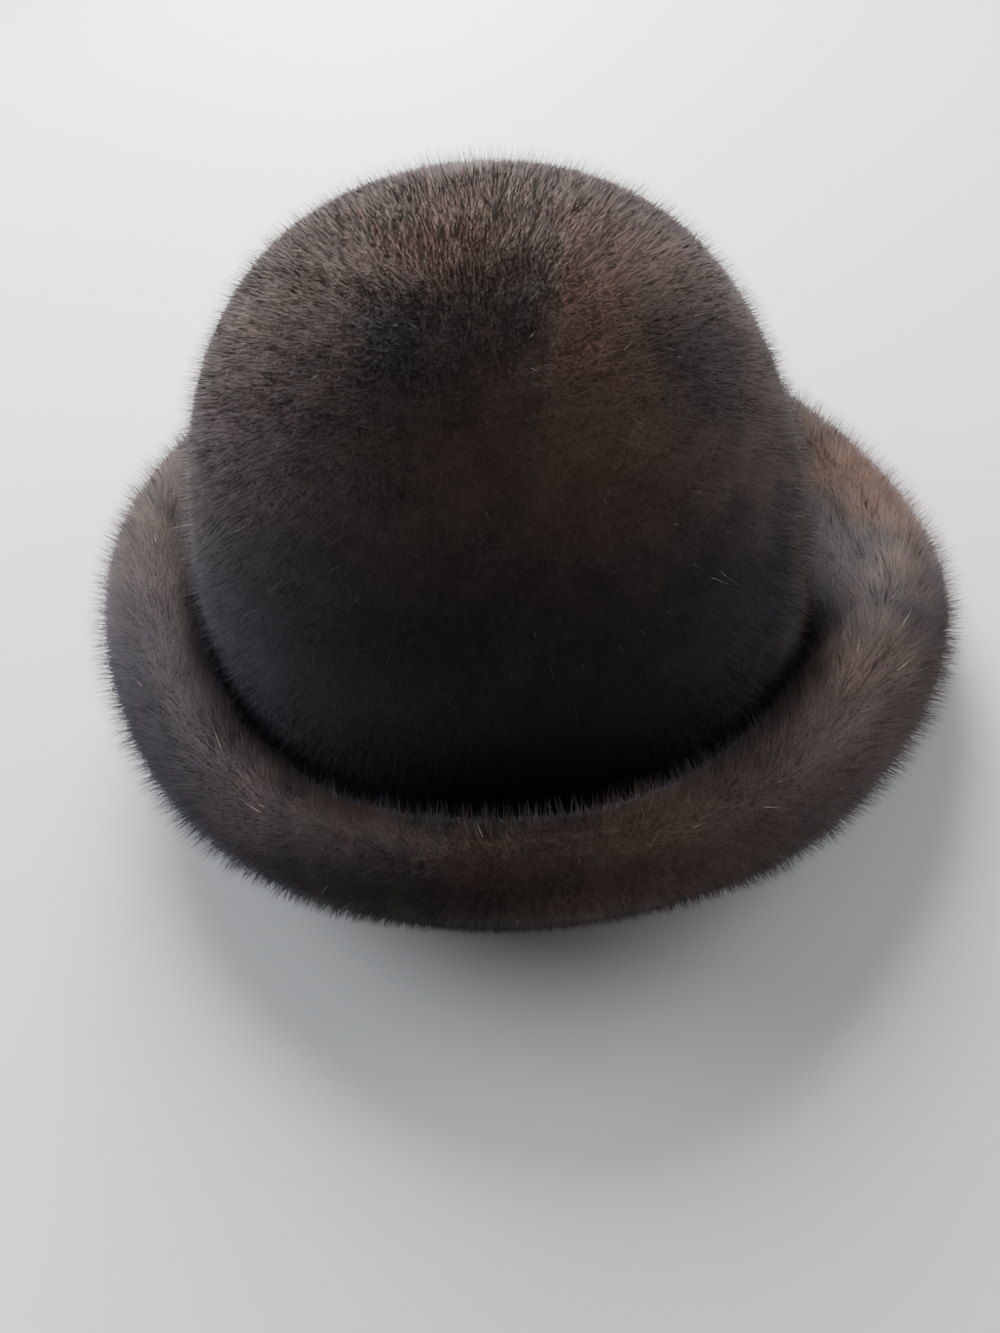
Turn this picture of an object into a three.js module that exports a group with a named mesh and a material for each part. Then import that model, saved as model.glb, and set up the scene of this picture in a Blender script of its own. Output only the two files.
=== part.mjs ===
// Fur hat: a round hollow crown and a thick brim that is turned up all round.
// Frame: +Z up, X across the hat, Y from its near side (-Y) to its far side (+Y).
// The hat stands on Z = 0, and its box is centred on the Z axis. Azimuths are counted from +X towards +Y.
import * as THREE from "three";

// Driving dimensions, in millimetres and degrees

const CROWN_HALF_WIDTH = 96;
const CROWN_HALF_LENGTH = 106;
const CROWN_HEIGHT = 148.5;
// Powers of the crown's round outline: 2 would be an ellipse, more gives fuller shoulders
const CROWN_PLAN_POWER = 2.8;
const CROWN_RISE_POWER = 2.46;
// How far the top sits from the middle of the foot
const CROWN_LEAN = { x: -1.6, y: 0.8 };

// The fur's locks stand this far out of the pelt, and the pelt with its dense underfur is the wall
const LOCK_RISE = 3.2;
const HEAD_HALF_WIDTH = 82;
const HEAD_HALF_LENGTH = 92;
const HEAD_HEIGHT = 134;

// The brim is sewn to the crown's foot over this height, and lies on a flat ring this wide
const SEAM_HEIGHT = 16;
const SEAM_GAP = 0.3;
const FLAT_RING_WIDTH = 12;
const BRIM_ROOT_HEIGHT = 13;
const BRIM_CURL = 8;
// Closest that the turned-up brim comes to the crown above the seam
const GUTTER_WIDTH = 6;
// How far down towards the seam the brim's top face stays straight, as a share of its height over the seam
const GUTTER_DEPTH = 0.62;

// The brim's turn-up, counted round from +X: reach runs from the seam to the middle of the rounded rim, and rim
// is the radius of its pelt
const BRIM_TURN_UP = [
  { azimuth: 0, reach: 34.5, tilt: 12.5, rim: 11 },
  { azimuth: 45, reach: 29.5, tilt: 25, rim: 12 },
  { azimuth: 90, reach: 33, tilt: 38, rim: 12 },
  { azimuth: 135, reach: 33, tilt: 41.5, rim: 12 },
  { azimuth: 180, reach: 35, tilt: 59, rim: 12 },
  { azimuth: 225, reach: 29.5, tilt: 55.5, rim: 11.5 },
  { azimuth: 270, reach: 41.5, tilt: 60, rim: 9.5 },
  { azimuth: 315, reach: 27, tilt: 44.5, rim: 14.5 },
];

// Soft swells and hollows of the crown: climb runs from 0 at the foot to 1 at the top, spread is in degrees
const CROWN_SWELLS = [
  { azimuth: 140, climb: 0.62, spread: 40, out: 2.2 },
  { azimuth: 35, climb: 0.6, spread: 40, out: 1.4 },
  { azimuth: 250, climb: 0.45, spread: 45, out: -1.6 },
  { azimuth: 95, climb: 0.78, spread: 30, out: -1.2 },
];
const SWELL_CLIMB_SPREAD = 0.16;

// Rows and columns of locks
const LOCK_COLUMNS = 48;
const CROWN_SIDE_ROWS = 12;
const CROWN_TOP_ROWS = 4;
const BRIM_ROWS = 12;
// A lock's tip reaches past its row, and the valley between two tips falls short of it, in parts of a row
const TIP_OVERHANG = 0.26;
const VALLEY_SHORTFALL = 0.32;
const UNDER_TIP_SHIFT = 0.06;
const VALLEY_RISE = 0.25;
// The nap runs round the brim, away from the middle of the near side, by this much at most
const BRIM_NAP_SWEEP = 9;
const LOCK_JITTER = 0.38;
// The locks lie flatter down in the gutter, where crown and brim press on each other: the crown's lose this
// share of their rise, and the brim's start with this share of it and gain the rest at this rate down the nap
const GUTTER_FLATTENING = 0.85;
const GUTTER_RISE = 0.25;
const GUTTER_RISE_GAIN = 2.4;
// The locks round the whorl start with this share of their rise
const WHORL_RISE = 0.6;

// Share of the crown's outline, from foot to top, taken by each zone, and how far the side's locks start up
// under the top's, in rows
const FOOT_BAND_CLIMB = 0.085;
const TOP_ZONE_CLIMB = 0.8;
const WHORL_CLIMB = 0.972;
const ZONE_OVERLAP = 0.4;
// Rings of the hollow; it has half as many points from the first one on, and half again from the second value
const INSIDE_CLIMBS = [0.14, 0.28, 0.42, 0.54, 0.65, 0.76, 0.86, 0.94];
const INSIDE_HALVED_AGAIN = 0.65;

// Step to both sides, as an angle and as a share of the nap, over which a pelt's outward direction is taken
const NORMAL_STEP = 0.002;
const CROWN_SEED = 11;
const BRIM_SEED = 29;

const PELT_COLOUR = 0x2a1a14;
const RIM_COLOUR = 0x3a2620;

const degrees = THREE.MathUtils.degToRad;
const TURN = 2 * Math.PI;

// Small numbers from -1 to 1 that are the same on every run
function seededNumbers(seed) {
  let state = seed;
  return () => {
    state = (state * 1664525 + 1013904223) % 4294967296;
    return (state / 4294967296) * 2 - 1;
  };
}

// A closed smooth curve through one column of a table whose rows are evenly spaced round the turn
function roundTable(rows, column, azimuth) {
  const place = ((azimuth / TURN) * rows.length + rows.length) % rows.length;
  const row = Math.floor(place);
  const value = (step) => rows[(row + step + rows.length) % rows.length][column];
  const t = place - row;
  const [a, b, c, d] = [value(-1), value(0), value(1), value(2)];
  return 0.5 * (2 * b + (c - a) * t + (2 * a - 5 * b + 4 * c - d) * t * t + (3 * b - a - 3 * c + d) * t * t * t);
}

// Radius of an ellipse in the direction of an azimuth
function ellipseRadius(halfWidth, halfLength, azimuth) {
  return 1 / Math.hypot(Math.cos(azimuth) / halfWidth, Math.sin(azimuth) / halfLength);
}

// The dome's outline as unit width and height, and the angle that lies a share of its length up from the foot
function domeOutline(angle) {
  return new THREE.Vector2(
    Math.max(0, Math.cos(angle)) ** (2 / CROWN_PLAN_POWER),
    Math.sin(angle) ** (2 / CROWN_RISE_POWER),
  );
}

function domeLengths(steps) {
  const lengths = [0];
  let last = domeOutline(0);
  for (let i = 1; i <= steps; i += 1) {
    const next = domeOutline((i / steps) * (Math.PI / 2));
    lengths.push(lengths[i - 1] + Math.hypot((next.x - last.x) * CROWN_HALF_WIDTH, (next.y - last.y) * CROWN_HEIGHT));
    last = next;
  }
  return lengths;
}

const DOME_STEPS = 400;
const DOME_LENGTHS = domeLengths(DOME_STEPS);

function domeAt(climb) {
  const wanted = climb * DOME_LENGTHS[DOME_STEPS];
  let i = 1;
  while (i < DOME_STEPS && DOME_LENGTHS[i] < wanted) i += 1;
  const part = (wanted - DOME_LENGTHS[i - 1]) / (DOME_LENGTHS[i] - DOME_LENGTHS[i - 1]);
  return domeOutline(((i - 1 + Math.min(1, Math.max(0, part))) / DOME_STEPS) * (Math.PI / 2));
}

function swellOut(azimuth, climb) {
  let out = 0;
  for (const swell of CROWN_SWELLS) {
    const turn = Math.abs(((((azimuth - degrees(swell.azimuth)) % TURN) + TURN + Math.PI) % TURN) - Math.PI);
    const across = turn / degrees(swell.spread);
    const up = (climb - swell.climb) / SWELL_CLIMB_SPREAD;
    out += swell.out * Math.exp(-(across * across + up * up));
  }
  return out;
}

// A point of a dome over an oval foot, at an azimuth and a share of the way up
function domePoint(halfWidth, halfLength, height, azimuth, climb, swell) {
  const outline = domeAt(climb);
  const radius = ellipseRadius(halfWidth, halfLength, azimuth) * outline.x + swell * outline.x;
  const z = height * outline.y;
  return new THREE.Vector3(
    radius * Math.cos(azimuth) + (CROWN_LEAN.x * z) / CROWN_HEIGHT,
    radius * Math.sin(azimuth) + (CROWN_LEAN.y * z) / CROWN_HEIGHT,
    z,
  );
}

// The pelt lies one lock's rise inside the crown's overall size
function crownPelt(azimuth, climb) {
  return domePoint(
    CROWN_HALF_WIDTH - LOCK_RISE,
    CROWN_HALF_LENGTH - LOCK_RISE,
    CROWN_HEIGHT - LOCK_RISE,
    azimuth,
    climb,
    swellOut(azimuth, climb),
  );
}

function crownInside(azimuth, climb) {
  return domePoint(HEAD_HALF_WIDTH, HEAD_HALF_LENGTH, HEAD_HEIGHT, azimuth, climb, 0);
}

// The brim's cut at one azimuth, from the top of the seam over the rounded rim to the flat ring below.
// Its x counts outwards from the crown's foot.
function brimCut(azimuth) {
  const reach = roundTable(BRIM_TURN_UP, "reach", azimuth);
  const tilt = degrees(roundTable(BRIM_TURN_UP, "tilt", azimuth));
  const rimRadius = roundTable(BRIM_TURN_UP, "rim", azimuth);
  const plate = tilt + degrees(BRIM_CURL);
  const along = new THREE.Vector2(Math.cos(plate), Math.sin(plate));
  const across = new THREE.Vector2(-along.y, along.x).multiplyScalar(rimRadius);
  const rim = new THREE.Vector2(reach * Math.cos(tilt), BRIM_ROOT_HEIGHT + reach * Math.sin(tilt));
  const top = rim.clone().add(across);
  const under = rim.clone().sub(across);
  const start = new THREE.Vector2(SEAM_GAP, SEAM_HEIGHT);
  const end = new THREE.Vector2(FLAT_RING_WIDTH, 0);
  const topBend = top.clone().addScaledVector(along, (-GUTTER_DEPTH * (top.y - start.y)) / along.y);
  const underBend = new THREE.Vector2(Math.max(FLAT_RING_WIDTH, under.x - (under.y * along.x) / along.y), 0);
  const cut = new THREE.Path();
  cut.moveTo(start.x, start.y);
  cut.quadraticCurveTo(Math.max(GUTTER_WIDTH, topBend.x), topBend.y, top.x, top.y);
  cut.absarc(rim.x, rim.y, rimRadius, plate + Math.PI / 2, plate - Math.PI / 2, true);
  cut.quadraticCurveTo(underBend.x, underBend.y, end.x, end.y);
  return cut;
}

const cutsByAzimuth = new Map();

function brimCutAt(azimuth) {
  const key = azimuth.toFixed(5);
  if (!cutsByAzimuth.has(key)) cutsByAzimuth.set(key, brimCut(azimuth));
  return cutsByAzimuth.get(key);
}

// A point of the brim outwards of the crown's foot and up from the surface that the hat stands on
function brimPoint(azimuth, outwards, z) {
  const foot = ellipseRadius(CROWN_HALF_WIDTH - LOCK_RISE, CROWN_HALF_LENGTH - LOCK_RISE, azimuth);
  const radius = foot + outwards;
  return new THREE.Vector3(radius * Math.cos(azimuth), radius * Math.sin(azimuth), z);
}

function brimPelt(azimuth, share) {
  const swept = azimuth + degrees(BRIM_NAP_SWEEP) * Math.cos(azimuth) * share;
  const point = brimCutAt(swept).getPointAt(Math.min(1, Math.max(0, share)));
  return brimPoint(swept, point.x, point.y);
}

// Closed bodies are built as rings of points, from each surface's first ring to its last
class RingBody {
  constructor() {
    this.positions = [];
    this.faces = [];
  }

  add(point) {
    this.positions.push(point.x, point.y, point.z);
    return this.positions.length / 3 - 1;
  }

  ring(count, pointAt) {
    return Array.from({ length: count }, (_, k) => this.add(pointAt((k / count) * TURN)));
  }

  fanFrom(tip, ring) {
    ring.forEach((_, k) => this.faces.push(tip, ring[k], ring[(k + 1) % ring.length]));
  }

  fanTo(ring, tip) {
    ring.forEach((_, k) => this.faces.push(ring[k], tip, ring[(k + 1) % ring.length]));
  }

  band(upper, lower) {
    upper.forEach((_, k) => {
      const next = (k + 1) % upper.length;
      this.faces.push(upper[k], lower[k], upper[next]);
      this.faces.push(lower[k], lower[next], upper[next]);
    });
  }

  // A ring above one with twice its points
  widen(upper, lower) {
    upper.forEach((_, k) => {
      const next = (k + 1) % upper.length;
      const middle = lower[2 * k + 1];
      this.faces.push(upper[k], lower[2 * k], middle);
      this.faces.push(upper[k], middle, upper[next]);
      this.faces.push(upper[next], middle, lower[(2 * k + 2) % lower.length]);
    });
  }

  // A ring above one with half its points
  narrow(upper, lower) {
    lower.forEach((_, k) => {
      const next = (k + 1) % lower.length;
      const middle = upper[2 * k + 1];
      this.faces.push(upper[2 * k], lower[k], middle);
      this.faces.push(middle, lower[k], lower[next]);
      this.faces.push(middle, lower[next], upper[(2 * k + 2) % upper.length]);
    });
  }

  // Overlapping locks between two plain rings. Each lock runs from a valley of its row's upper line to a raised
  // tip on the lower line, and the next row's locks start half a lock further round, under those tips.
  locks({ columns, rows, pelt, rise, random }) {
    const points = 2 * columns;
    const raised = (azimuth, share, level) => {
      const here = pelt(azimuth, share);
      const before = Math.max(0, share - NORMAL_STEP);
      const after = Math.min(1, share + NORMAL_STEP);
      const round = pelt(azimuth + NORMAL_STEP, share).sub(pelt(azimuth - NORMAL_STEP, share));
      const down = pelt(azimuth, after).sub(pelt(azimuth, before));
      const out = down.cross(round).normalize();
      const point = here.addScaledVector(out, level * rise(share));
      point.z = Math.max(point.z, 0);
      return point;
    };
    const lines = [];
    for (let line = 0; line <= rows; line += 1) {
      const plain = line === 0 || line === rows;
      const low = [];
      const tips = [];
      for (let k = 0; k < points; k += 1) {
        const azimuth = (k / points) * TURN;
        const isTip = (k + line) % 2 === 0;
        const shift = plain ? 0 : isTip ? UNDER_TIP_SHIFT : -VALLEY_SHORTFALL;
        low.push(this.add(raised(azimuth, (line + shift) / rows, plain || isTip ? 0 : VALLEY_RISE)));
        if (plain || !isTip) {
          tips.push(low[k]);
          continue;
        }
        const reach = TIP_OVERHANG * (1 + LOCK_JITTER * random());
        const aside = (LOCK_JITTER * random() * TURN) / points / 2;
        const level = 1 + LOCK_JITTER * random();
        tips.push(this.add(raised(azimuth + aside, (line + reach) / rows, level)));
      }
      lines.push({ low, tips, plain });
    }
    for (let line = 0; line < rows; line += 1) {
      const upper = lines[line];
      const lower = lines[line + 1];
      for (let k = 0; k < points; k += 1) {
        const left = (k + points - 1) % points;
        const right = (k + 1) % points;
        if ((k + line) % 2 === 1) {
          this.faces.push(upper.low[k], upper.low[left], lower.tips[k]);
          this.faces.push(upper.low[left], lower.low[left], lower.tips[k]);
          this.faces.push(upper.low[k], lower.tips[k], upper.low[right]);
          this.faces.push(upper.low[right], lower.tips[k], lower.low[right]);
        } else if (!upper.plain) {
          this.faces.push(upper.tips[k], upper.low[left], upper.low[k]);
          this.faces.push(upper.tips[k], upper.low[k], upper.low[right]);
        }
      }
    }
    return { first: lines[0].low, last: lines[rows].low };
  }

  geometry() {
    const geometry = new THREE.BufferGeometry();
    geometry.setAttribute("position", new THREE.Float32BufferAttribute(this.positions, 3));
    geometry.setIndex(this.faces);
    geometry.computeVertexNormals();
    return geometry;
  }
}

// Crown: locks from the whorl at the top down to the seam, a plain band behind the brim, and the hollow inside
function crownGeometry() {
  const body = new RingBody();
  const random = seededNumbers(CROWN_SEED);
  const between = (from, to) => (azimuth, share) => crownPelt(azimuth, from + (to - from) * share);
  const tip = body.add(crownPelt(0, 1));
  const top = body.locks({
    columns: LOCK_COLUMNS / 2,
    rows: CROWN_TOP_ROWS,
    pelt: between(WHORL_CLIMB, TOP_ZONE_CLIMB),
    rise: (share) => LOCK_RISE * (WHORL_RISE + (1 - WHORL_RISE) * share),
    random,
  });
  body.fanFrom(tip, top.first);
  const rowClimb = (TOP_ZONE_CLIMB - FOOT_BAND_CLIMB) / (CROWN_SIDE_ROWS + ZONE_OVERLAP);
  const side = body.locks({
    columns: LOCK_COLUMNS,
    rows: CROWN_SIDE_ROWS,
    pelt: between(TOP_ZONE_CLIMB - ZONE_OVERLAP * rowClimb, FOOT_BAND_CLIMB),
    rise: (share) => LOCK_RISE * (1 - GUTTER_FLATTENING * share ** 3),
    random,
  });
  body.widen(top.last, side.first);
  const points = 2 * LOCK_COLUMNS;
  const foot = body.ring(points, (azimuth) => crownPelt(azimuth, 0));
  body.band(side.last, foot);
  const mouth = body.ring(points, (azimuth) => crownInside(azimuth, 0));
  body.band(foot, mouth);
  let last = mouth;
  for (const climb of INSIDE_CLIMBS) {
    const halved = climb === INSIDE_CLIMBS[0] || climb === INSIDE_HALVED_AGAIN;
    const ring = body.ring(halved ? last.length / 2 : last.length, (azimuth) => crownInside(azimuth, climb));
    if (halved) body.narrow(last, ring);
    else body.band(last, ring);
    last = ring;
  }
  body.fanTo(last, body.add(crownInside(0, 1)));
  return body.geometry();
}

// Brim: locks from the gutter beside the crown over the rim and under it, then the flat ring and the seam
function brimGeometry() {
  const body = new RingBody();
  const random = seededNumbers(BRIM_SEED);
  const fur = body.locks({
    columns: LOCK_COLUMNS,
    rows: BRIM_ROWS,
    pelt: brimPelt,
    rise: (share) => LOCK_RISE * Math.min(1, GUTTER_RISE + GUTTER_RISE_GAIN * share),
    random,
  });
  const seamFoot = body.ring(2 * LOCK_COLUMNS, (azimuth) => brimPoint(azimuth, SEAM_GAP, 0));
  body.band(fur.last, seamFoot);
  body.band(seamFoot, fur.first);
  return body.geometry();
}

function furMesh(name, geometry, colour) {
  const material = new THREE.MeshStandardMaterial({ color: colour, roughness: 0.75, metalness: 0 });
  const mesh = new THREE.Mesh(geometry, material);
  mesh.name = name;
  return mesh;
}

const hat = new THREE.Group();
hat.add(furMesh("crown", crownGeometry(), PELT_COLOUR));
hat.add(furMesh("brim", brimGeometry(), RIM_COLOUR));

// Stand the hat with its box centred over the origin
const box = new THREE.Box3().setFromObject(hat);
const middle = box.getCenter(new THREE.Vector3());
hat.position.set(-middle.x, -middle.y, -box.min.z);

export default hat;
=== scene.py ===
"""Dark brown fur hat with a round crown and a thick upturned brim, standing on a pale floor."""

import math

import bpy
import numpy as np
from mathutils import Matrix, Vector


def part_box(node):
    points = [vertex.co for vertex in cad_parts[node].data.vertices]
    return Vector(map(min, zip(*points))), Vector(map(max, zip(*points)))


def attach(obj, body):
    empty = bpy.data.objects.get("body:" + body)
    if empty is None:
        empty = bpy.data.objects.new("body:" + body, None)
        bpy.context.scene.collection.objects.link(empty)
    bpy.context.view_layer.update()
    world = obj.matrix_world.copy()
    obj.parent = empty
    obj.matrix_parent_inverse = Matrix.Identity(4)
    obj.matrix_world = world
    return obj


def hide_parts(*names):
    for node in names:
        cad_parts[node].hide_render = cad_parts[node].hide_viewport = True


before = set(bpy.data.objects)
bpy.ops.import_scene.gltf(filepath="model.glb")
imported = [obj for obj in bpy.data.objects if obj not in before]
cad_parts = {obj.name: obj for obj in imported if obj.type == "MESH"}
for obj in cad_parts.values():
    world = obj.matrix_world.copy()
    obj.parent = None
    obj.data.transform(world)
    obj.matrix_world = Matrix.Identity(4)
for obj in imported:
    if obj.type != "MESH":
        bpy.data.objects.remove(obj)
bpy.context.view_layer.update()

# Tables and surfaces are in millimetres from the middle of the crown's foot, and their angles in degrees
MM = 0.001
TURN = 2 * math.pi
# Lengths under this count as none
TINY = 1e-6

# The crown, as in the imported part
CROWN_HALF_WIDTH = 96.0
CROWN_HALF_LENGTH = 106.0
CROWN_HEIGHT = 148.5
CROWN_PLAN_POWER = 2.8
CROWN_RISE_POWER = 2.46
CROWN_LEAN = (-1.6, 0.8)
CROWN_SWELLS = [
    {"azimuth": 140, "climb": 0.62, "spread": 40, "out": 2.2},
    {"azimuth": 35, "climb": 0.60, "spread": 40, "out": 1.4},
    {"azimuth": 250, "climb": 0.45, "spread": 45, "out": -1.6},
    {"azimuth": 95, "climb": 0.78, "spread": 30, "out": -1.2},
]
SWELL_CLIMB_SPREAD = 0.16
HEAD_HALF_WIDTH = 82.0
HEAD_HALF_LENGTH = 92.0
HEAD_HEIGHT = 134.0

# The brim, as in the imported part: rows are evenly spaced round from +X, and rim is the rim's radius
BRIM_TURN_UP = [
    {"reach": 34.5, "tilt": 12.5, "rim": 11.0},
    {"reach": 29.5, "tilt": 25.0, "rim": 12.0},
    {"reach": 33.0, "tilt": 38.0, "rim": 12.0},
    {"reach": 33.0, "tilt": 41.5, "rim": 12.0},
    {"reach": 35.0, "tilt": 59.0, "rim": 12.0},
    {"reach": 29.5, "tilt": 55.5, "rim": 11.5},
    {"reach": 41.5, "tilt": 60.0, "rim": 9.5},
    {"reach": 27.0, "tilt": 44.5, "rim": 14.5},
]
SEAM_HEIGHT = 16.0
SEAM_GAP = 0.3
FLAT_RING_WIDTH = 12.0
BRIM_ROOT_HEIGHT = 13.0
BRIM_CURL = 8.0
GUTTER_WIDTH = 6.0
GUTTER_DEPTH = 0.62
PACKED_LOCK_RISE = 3.2

# How deep the skin with its densest underfur lies under the fur's overall size
PELT_DEPTH = 1.4
# From these shares of the way down, the crown's skin draws in to its packed size behind the brim
DRAW_IN = (0.90, 0.95)
# The brim's skin starts a little clear of the crown, below the seam's top, and ends just over the floor
SEAM_INSET = 0.2
SEAM_DROP = 1.5
SKIN_FOOT = 0.2
# The skin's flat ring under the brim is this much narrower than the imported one, to leave room for its fur
RING_RECESS = 2.0

# The middle of the crown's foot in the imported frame
crown_low, crown_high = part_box("crown")
CROWN_MIDDLE = np.array([
    (crown_low[0] + crown_high[0]) / 2 / MM,
    (crown_low[1] + crown_high[1]) / 2 / MM,
    0.0,
])

CAMERA_PLACE = np.array([-5.6, -242.5, 257.3])
CAMERA_PITCH = 48.6
CAMERA_ROLL = -7.45
LENS = 27.0
SENSOR_WIDTH = 36.0
CLIP_START = 0.01
CLIP_END = 50.0


OUTLINE_STEPS = 600
CUT_SAMPLES = 48


def around(column, azimuth):
    """A closed smooth curve through one column of the brim's table."""
    values = np.array([row[column] for row in BRIM_TURN_UP])
    n = len(values)
    place = (azimuth / TURN * n) % n
    row = np.floor(place).astype(int)
    t = place - row
    a, b, c, d = (values[(row + step) % n] for step in (-1, 0, 1, 2))
    slope = c - a
    bend = 2 * a - 5 * b + 4 * c - d
    twist = 3 * b - a - 3 * c + d
    return 0.5 * (2 * b + slope * t + bend * t**2 + twist * t**3)


def ellipse_radius(half_width, half_length, azimuth):
    return 1 / np.hypot(np.cos(azimuth) / half_width, np.sin(azimuth) / half_length)


def foot_radius(azimuth):
    """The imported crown's radius at its foot, between the locks."""
    half_width = CROWN_HALF_WIDTH - PACKED_LOCK_RISE
    half_length = CROWN_HALF_LENGTH - PACKED_LOCK_RISE
    return ellipse_radius(half_width, half_length, azimuth)


def dome_outline(climb):
    """Unit width and height of the dome, a share of its length up from the foot."""
    angle = np.linspace(0, math.pi / 2, OUTLINE_STEPS)
    width = np.maximum(0, np.cos(angle)) ** (2 / CROWN_PLAN_POWER)
    height = np.sin(angle) ** (2 / CROWN_RISE_POWER)
    width[-1] = 0
    steps = np.hypot(np.diff(width) * CROWN_HALF_WIDTH, np.diff(height) * CROWN_HEIGHT)
    length = np.concatenate([[0], np.cumsum(steps)])
    wanted = climb * length[-1]
    return np.interp(wanted, length, width), np.interp(wanted, length, height)


def swells(azimuth, climb):
    """How far the crown's soft swells stand out at places on the dome."""
    total = np.zeros(np.broadcast(azimuth, climb).shape)
    for row in CROWN_SWELLS:
        turn = np.abs((azimuth - math.radians(row["azimuth"]) + math.pi) % TURN - math.pi)
        across = turn / math.radians(row["spread"])
        up = (climb - row["climb"]) / SWELL_CLIMB_SPREAD
        total = total + row["out"] * np.exp(-(across**2 + up**2))
    return total


def dome(azimuth, climb, half_width, half_length, height, swell):
    """Points on a dome that leans with the crown, with its plan let out by the swell."""
    azimuth, climb = np.broadcast_arrays(azimuth, climb)
    width, rise = dome_outline(climb)
    radius = (ellipse_radius(half_width, half_length, azimuth) + swell) * width
    z = height * rise
    return np.stack([
        radius * np.cos(azimuth) + CROWN_LEAN[0] * z / CROWN_HEIGHT,
        radius * np.sin(azimuth) + CROWN_LEAN[1] * z / CROWN_HEIGHT,
        z,
    ], axis=-1)


def crown_skin(azimuth, climb):
    """The crown's skin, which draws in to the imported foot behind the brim."""
    depth = PELT_DEPTH + (PACKED_LOCK_RISE - PELT_DEPTH) * smooth_step(1 - climb, *DRAW_IN)
    drawn_in = swells(azimuth, climb) - depth
    return dome(azimuth, climb, CROWN_HALF_WIDTH, CROWN_HALF_LENGTH, CROWN_HEIGHT - PELT_DEPTH, drawn_in)


def crown_hollow(azimuth, climb):
    """The inside of the crown's wall."""
    return dome(azimuth, climb, HEAD_HALF_WIDTH, HEAD_HALF_LENGTH, HEAD_HEIGHT, 0.0)


def bezier(start, bend, end, t):
    return (1 - t) ** 2 * start + 2 * t * (1 - t) * bend + t**2 * end


def brim_cut(azimuth):
    """The brim's cut at each azimuth, from the seam's top over the rim to the flat ring."""
    azimuth = np.asarray(azimuth)[:, None]
    reach = around("reach", azimuth)
    tilt = np.radians(around("tilt", azimuth))
    plate = tilt + math.radians(BRIM_CURL)
    radius = around("rim", azimuth)[..., None] + (PACKED_LOCK_RISE - PELT_DEPTH)
    rim = np.stack([reach * np.cos(tilt), BRIM_ROOT_HEIGHT + reach * np.sin(tilt)], -1)
    along = np.stack([np.cos(plate), np.sin(plate)], -1)
    across = np.stack([-np.sin(plate), np.cos(plate)], -1) * radius
    top = rim + across
    under = rim - across
    start = np.array([SEAM_GAP + SEAM_INSET, SEAM_HEIGHT - SEAM_DROP])
    end = np.array([FLAT_RING_WIDTH - RING_RECESS, SKIN_FOOT])
    bend_top = top - along * (GUTTER_DEPTH * (top[..., 1:] - start[1]) / along[..., 1:])
    bend_top[..., 0] = np.maximum(GUTTER_WIDTH, bend_top[..., 0])
    bend_under = np.stack([
        np.maximum(end[0], under[..., 0] - under[..., 1] * along[..., 0] / along[..., 1]),
        np.full(under.shape[:-1], SKIN_FOOT),
    ], -1)
    t = np.linspace(0, 1, CUT_SAMPLES)[None, :, None]
    turn = plate[..., None] + math.pi / 2 - math.pi * t
    arc = rim + radius * np.concatenate([np.cos(turn), np.sin(turn)], -1)
    return np.concatenate([
        bezier(start, bend_top, top, t)[:, :-1],
        arc[:, :-1],
        bezier(under, bend_under, end, t),
    ], 1)


def brim_skin_grid(azimuth, rows):
    """Points of the brim's skin on a grid of azimuths and shares of each cut's length."""
    line = brim_cut(azimuth)
    length = np.concatenate([
        np.zeros((len(line), 1)), np.cumsum(np.linalg.norm(np.diff(line, axis=1), axis=2), axis=1)
    ], axis=1)
    out = np.empty((len(azimuth), rows, 3))
    foot = foot_radius(np.asarray(azimuth))
    for i, a in enumerate(azimuth):
        wanted = np.linspace(0, length[i, -1], rows)
        radius = foot[i] + np.interp(wanted, length[i], line[i, :, 0])
        out[i, :, 0] = radius * math.cos(a)
        out[i, :, 1] = radius * math.sin(a)
        out[i, :, 2] = np.interp(wanted, length[i], line[i, :, 1])
    return out


# Next to the middle of a dome, a turn round it counts as at least this radius
LEAST_RADIUS = 4.0


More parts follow.
